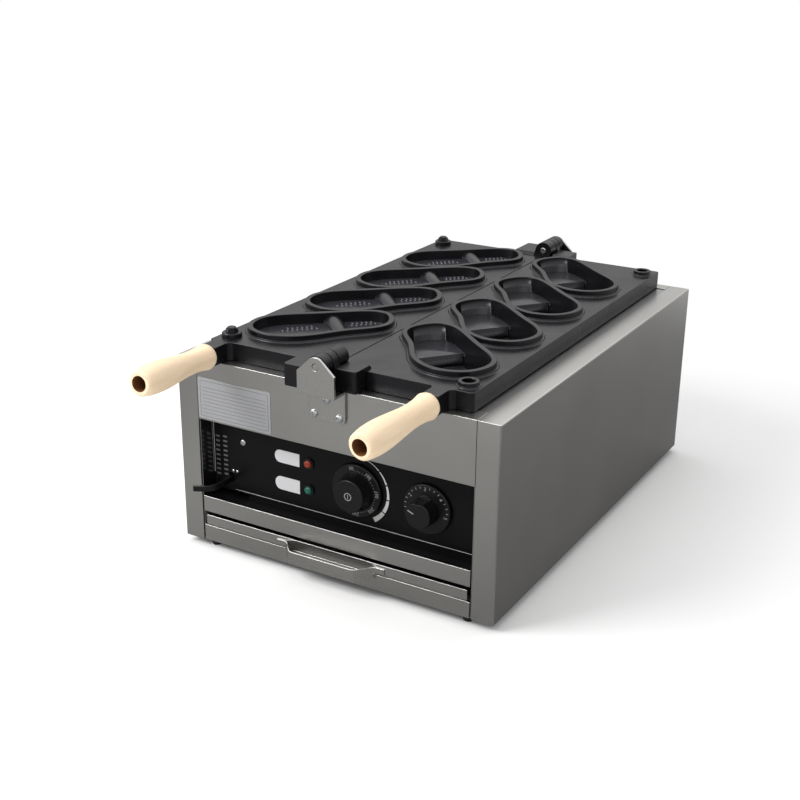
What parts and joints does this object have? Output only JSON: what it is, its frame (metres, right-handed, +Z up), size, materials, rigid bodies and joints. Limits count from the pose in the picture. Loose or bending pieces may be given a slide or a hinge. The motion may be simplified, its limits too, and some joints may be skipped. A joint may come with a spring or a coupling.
{
  "type": "shoe waffle maker",
  "caption": "Countertop cooker with two hinged cast moulds that close on each other to bake shoe-shaped waffles.",
  "frame": {"origin": "on the surface the feet stand on, below the middle of the whole machine, handles included", "axes": "+Z up, -Y towards the cook, where the handles and the controls are, +X to the cook's right"},
  "size_m": [0.4, 0.7085, 0.2705],
  "materials": {
    "stainless": "brushed",
    "stainless_inner": "matt",
    "galvanised": "matt",
    "cast_coated": "satin non-stick coating",
    "beech": "sanded, oiled",
    "panel_black": "satin black",
    "knob_black": "satin moulded",
    "lever_black": "satin moulded",
    "rubber_black": "matt",
    "lens_red": "gloss",
    "lens_green": "gloss",
    "zinc_screw": "zinc plated",
    "steel_pin": "turned",
    "heater_sheath": "oxidised sheath",
    "control_plastic": "moulded",
    "ceramic_white": "unglazed",
    "brass_fitting": "turned"
  },
  "bodies": {
    "cabinet": {"right_side_panel": "stainless", "left_side_panel": "stainless", "right_liner": "galvanised", "left_liner": "galvanised", "deck": "stainless_inner", "front_apron": "stainless", "lower_fascia": "stainless", "control_shelf": "stainless_inner", "control_panel": "panel_black", "bottom_rail": "stainless", "base_plate": "galvanised", "rear_panel": "stainless", "partition": "galvanised", "rubber_feet": "rubber_black", "foot_screws": "zinc_screw", "front_hinge_bracket": "stainless", "rear_hinge_bracket": "stainless", "front_hinge_pin": "steel_pin", "rear_hinge_pin": "steel_pin", "bracket_screws": "zinc_screw", "tray_runners": "galvanised", "thermostat": "control_plastic", "timer": "control_plastic", "thermostat_bulb": "brass_fitting", "lamp_bezels": "knob_black", "work_lamp_lens": "lens_red", "power_lamp_lens": "lens_green", "panel_screw": "zinc_screw", "lever_pivot": "steel_pin", "switch_body": "control_plastic", "switch_screws": "zinc_screw", "right_heater": "heater_sheath", "left_heater": "heater_sheath", "heater_fittings": "brass_fitting", "heater_supports": "galvanised", "cable_gland": "knob_black", "terminal_block": "ceramic_white"},
    "left_mould_swing": {"left_mould": "cast_coated", "left_hinge_lugs": "cast_coated", "left_knuckles": "cast_coated", "locating_pins": "steel_pin", "left_handle": "beech", "left_handle_rod": "steel_pin", "left_handle_nut": "zinc_screw", "left_handle_collar": "steel_pin"},
    "right_mould_swing": {"right_mould": "cast_coated", "right_hinge_lugs": "cast_coated", "right_knuckles": "cast_coated", "right_handle": "beech", "right_handle_rod": "steel_pin", "right_handle_nut": "zinc_screw", "right_handle_collar": "steel_pin"},
    "tray": {"crumb_tray": "stainless", "tray_handle": "stainless"},
    "temperature_dial": {"temperature_knob": "knob_black", "temperature_shaft": "steel_pin"},
    "timer_dial": {"timer_knob": "knob_black", "timer_shaft": "steel_pin"},
    "lever": {"power_lever": "lever_black"}
  },
  "joints": [
    {"name": "left_mould_hinge", "type": "hinge", "parent": "cabinet", "child": "left_mould_swing", "pos_m": [0, -0.22, 0.25905], "axis": [0, 1, 0], "range_deg": [0, 180]},
    {"name": "right_mould_hinge", "type": "hinge", "parent": "cabinet", "child": "right_mould_swing", "pos_m": [0, -0.22, 0.25905], "axis": [0, -1, 0], "range_deg": [0, 180]},
    {"name": "crumb_tray_slide", "type": "slide", "parent": "cabinet", "child": "tray", "axis": [0, -1, 0], "range_m": [0, 0.42]},
    {"name": "temperature_turn", "type": "hinge", "parent": "cabinet", "child": "temperature_dial", "pos_m": [0.022, -0.201, 0.1095], "axis": [0, 1, 0], "range_deg": [0, 270]},
    {"name": "timer_turn", "type": "hinge", "parent": "cabinet", "child": "timer_dial", "pos_m": [0.1085, -0.201, 0.1095], "axis": [0, 1, 0], "range_deg": [0, 300]},
    {"name": "power_lever_turn", "type": "hinge", "parent": "cabinet", "child": "lever", "pos_m": [-0.148, -0.194, 0.083], "axis": [-1, 0, 0], "range_deg": [0, 25]}
  ]
}
